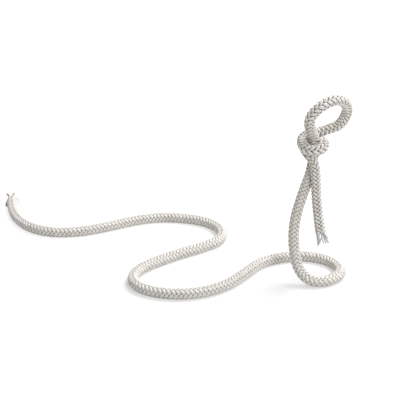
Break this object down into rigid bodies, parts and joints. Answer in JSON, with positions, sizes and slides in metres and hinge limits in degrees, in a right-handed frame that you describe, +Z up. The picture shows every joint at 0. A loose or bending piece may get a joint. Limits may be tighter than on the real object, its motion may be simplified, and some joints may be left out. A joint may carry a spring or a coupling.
{
  "type": "rope bottle holder",
  "caption": "Braided rope stiffened by a bent steel rod: it lies in open bays, rises as a stem and closes in a knotted, tilted noose that carries a bottle by its neck.",
  "frame": {"origin": "on the ground under the middle of the holder's bounding box", "axes": "+X along the holder, from the frayed far end to the noose; +Y away from the viewer of the picture; +Z up"},
  "size_m": [0.3783, 0.2638, 0.1897],
  "materials": {
    "steel_rod": "bright drawn wire rod",
    "braided_rope": "ivory braided yarn with a satin sheen",
    "loose_yarn": "loosened ivory yarn"
  },
  "bodies": {
    "root": {"steel_core": "steel_rod", "base_sleeve_far_bay": "braided_rope", "base_sleeve_long_run": "braided_rope", "base_sleeve_back_bend": "braided_rope", "base_sleeve_middle_run": "braided_rope", "base_sleeve_front_bend": "braided_rope", "base_sleeve_front_run": "braided_rope", "floor_loop_sleeve": "braided_rope", "stem_sleeve": "braided_rope", "noose_sleeve": "braided_rope", "knot_turn": "braided_rope", "far_end_strands": "loose_yarn"},
    "tail": {"tail_rope": "braided_rope", "tail_end_strands": "loose_yarn"}
  },
  "joints": [
    {"name": "tail_swing", "type": "hinge", "parent": "root", "child": "tail", "pos_m": [0.15375, -0.07525, 0.11225], "axis": [0, -1, 0], "range_deg": [-3, 35]}
  ]
}
